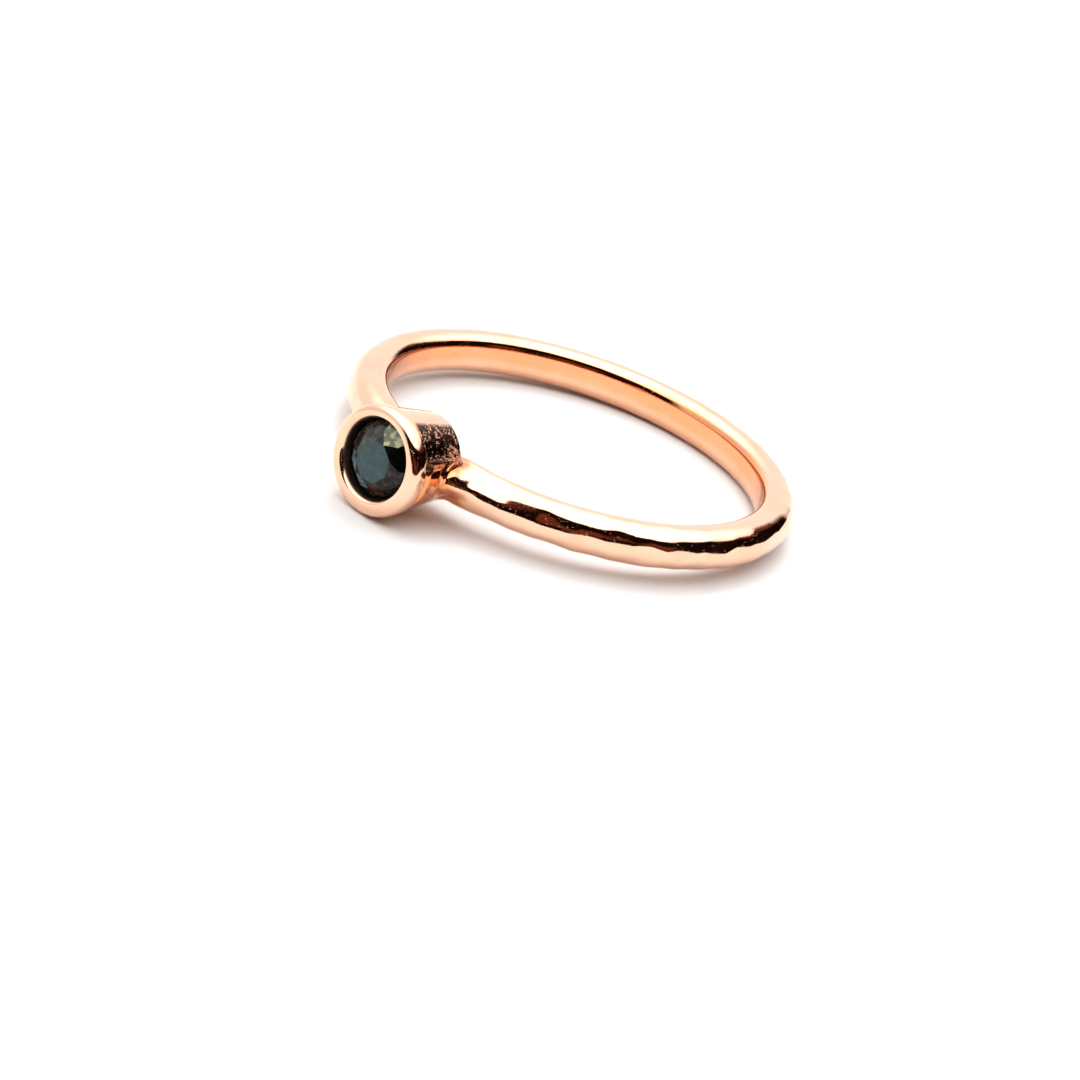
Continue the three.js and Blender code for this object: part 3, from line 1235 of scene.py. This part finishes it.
@dataclass(frozen=True)
class Studio:
    """The pale floor and the soft light: a white tent that is open towards a dark room."""

    floor_radius: float = 3.0
    lamp_radius: float = 0.08
    lamp_place: tuple[float, float, float] = (-0.12, 0.18, 0.42)
    lamp_power: float = 0.35
    walls: float = 0.95
    back_wall: float = 1.22
    roof: float = 2.5
    roof_edge: tuple[float, float] = (0.35, 0.82)
    room: tuple[float, float, float, float] = (0.008, 0.003, 0.002, 1.0)
    room_glow: tuple[float, float, float, float] = (0.15, 0.042, 0.018, 1.0)
    glow_grain: float = 0.55
    room_side: float = math.radians(49)
    room_edge: tuple[float, float] = (-0.32, -0.11)
    room_top_side: float = math.radians(25)
    room_top: float = 0.47
    room_top_rise: float = 0.55

    def floor(self) -> bpy.types.Object:
        """Make the floor."""
        form = bmesh.new()
        bmesh.ops.create_circle(form, cap_ends=True, segments=96, radius=self.floor_radius)
        mesh = bpy.data.meshes.new("floor")
        form.to_mesh(mesh)
        form.free()
        mesh.materials.append(PalePaper().material())
        floor = put("floor", mesh)
        return floor

    def lamp(self) -> bpy.types.Object:
        """Make the soft lamp behind the ring."""
        light = bpy.data.lights.new("lamp", "AREA")
        light.shape = "DISK"
        light.size = 2 * self.lamp_radius
        light.energy = self.lamp_power
        piece = bpy.data.objects.new("lamp", light)
        bpy.context.scene.collection.objects.link(piece)
        piece.location = self.lamp_place
        piece.rotation_euler = Vector(self.lamp_place).to_track_quat("Z", "Y").to_euler()
        return piece

    def tent(self, camera_side: float) -> None:
        """Make the tent round the ring.

        Args:
            camera_side: The level direction from the ring to the camera, as an angle from +X.
        """
        world = bpy.data.worlds.new("tent")
        world.use_nodes = True
        bench = Bench(world.node_tree)
        direction = bench.node("ShaderNodeTexCoord", output="Generated")
        height = self._towards(bench, direction, (0.0, 0.0, 1.0))
        side = self._towards(bench, direction, level_direction(camera_side + self.room_side))
        top_side = self._towards(bench, direction, level_direction(camera_side + self.room_top_side))
        back = self._towards(bench, direction, level_direction(camera_side + math.pi))
        top = self.room_top + (self.room_top_rise * top_side - 0.05).clamped()
        dark = (top - height).step(-0.04, 0.04) * side.step(*self.room_edge)
        wall = self.walls + (self.back_wall - self.walls) * back.step(0.0, 1.0)
        bright = wall + (self.roof - wall) * height.step(*self.roof_edge)
        seen = bench.node("ShaderNodeLightPath", output="Is Camera Ray")
        glow = bench.noise(direction, self.glow_grain, 2.0).step(0.55, 0.70)
        white = (1.0, 1.0, 1.0, 1.0)
        light = bench.mix(dark * (1.0 - seen), white, bench.mix(glow, self.room, self.room_glow))
        level = bright + (1.0 - bright) * (dark + seen).clamped()
        inputs = {"Color": light, "Strength": level}
        shader = bench.node("ShaderNodeBackground", inputs=inputs)
        bench.node("ShaderNodeOutputWorld", inputs={"Surface": shader})
        bpy.context.scene.world = world

    @staticmethod
    def _towards(bench: Bench, direction: Signal, axis: Sequence[float]) -> Signal:
        """Return how far a direction points along an axis, from -1 to 1."""
        settings = {"operation": "DOT_PRODUCT"}
        return bench.node("ShaderNodeVectorMath", settings, {0: direction, 1: axis}, "Value")


def level_direction(angle: float) -> tuple[float, float, float]:
    """Return the level direction at an angle from +X."""
    return (math.cos(angle), math.sin(angle), 0.0)


def hand_over(piece: bpy.types.Object, node: Node) -> None:
    """Let a piece stand for a solid of the frame and report it.

    Args:
        piece: The piece.
        node: The solid that it replaces.
    """
    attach(piece, "root")
    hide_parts(node.value)
    LOG.info("%s: %d faces, for %s", piece.name, len(piece.data.polygons), node.value)


def main() -> None:
    """Build the ring and its studio."""
    logging.basicConfig(level=logging.INFO, format="%(name)s: %(message)s")
    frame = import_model()
    band = Band()
    bezel = Bezel()
    laying = Laying.from_record(frame["record"], band.finger_radius)
    metal = Metalwork(band, bezel).build(laying, RoseGold())
    hand_over(metal, Node.METAL)
    stone = Stone().build(bezel, laying, BlackStone())
    hand_over(stone, Node.STONE)
    studio = Studio()
    studio.floor()
    studio.lamp()
    camera = Viewpoint().build(laying)
    studio.tent(math.atan2(camera.location.y, camera.location.x))
    bpy.context.scene.view_settings.view_transform = "Standard"
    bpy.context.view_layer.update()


if __name__ == "__main__":
    main()
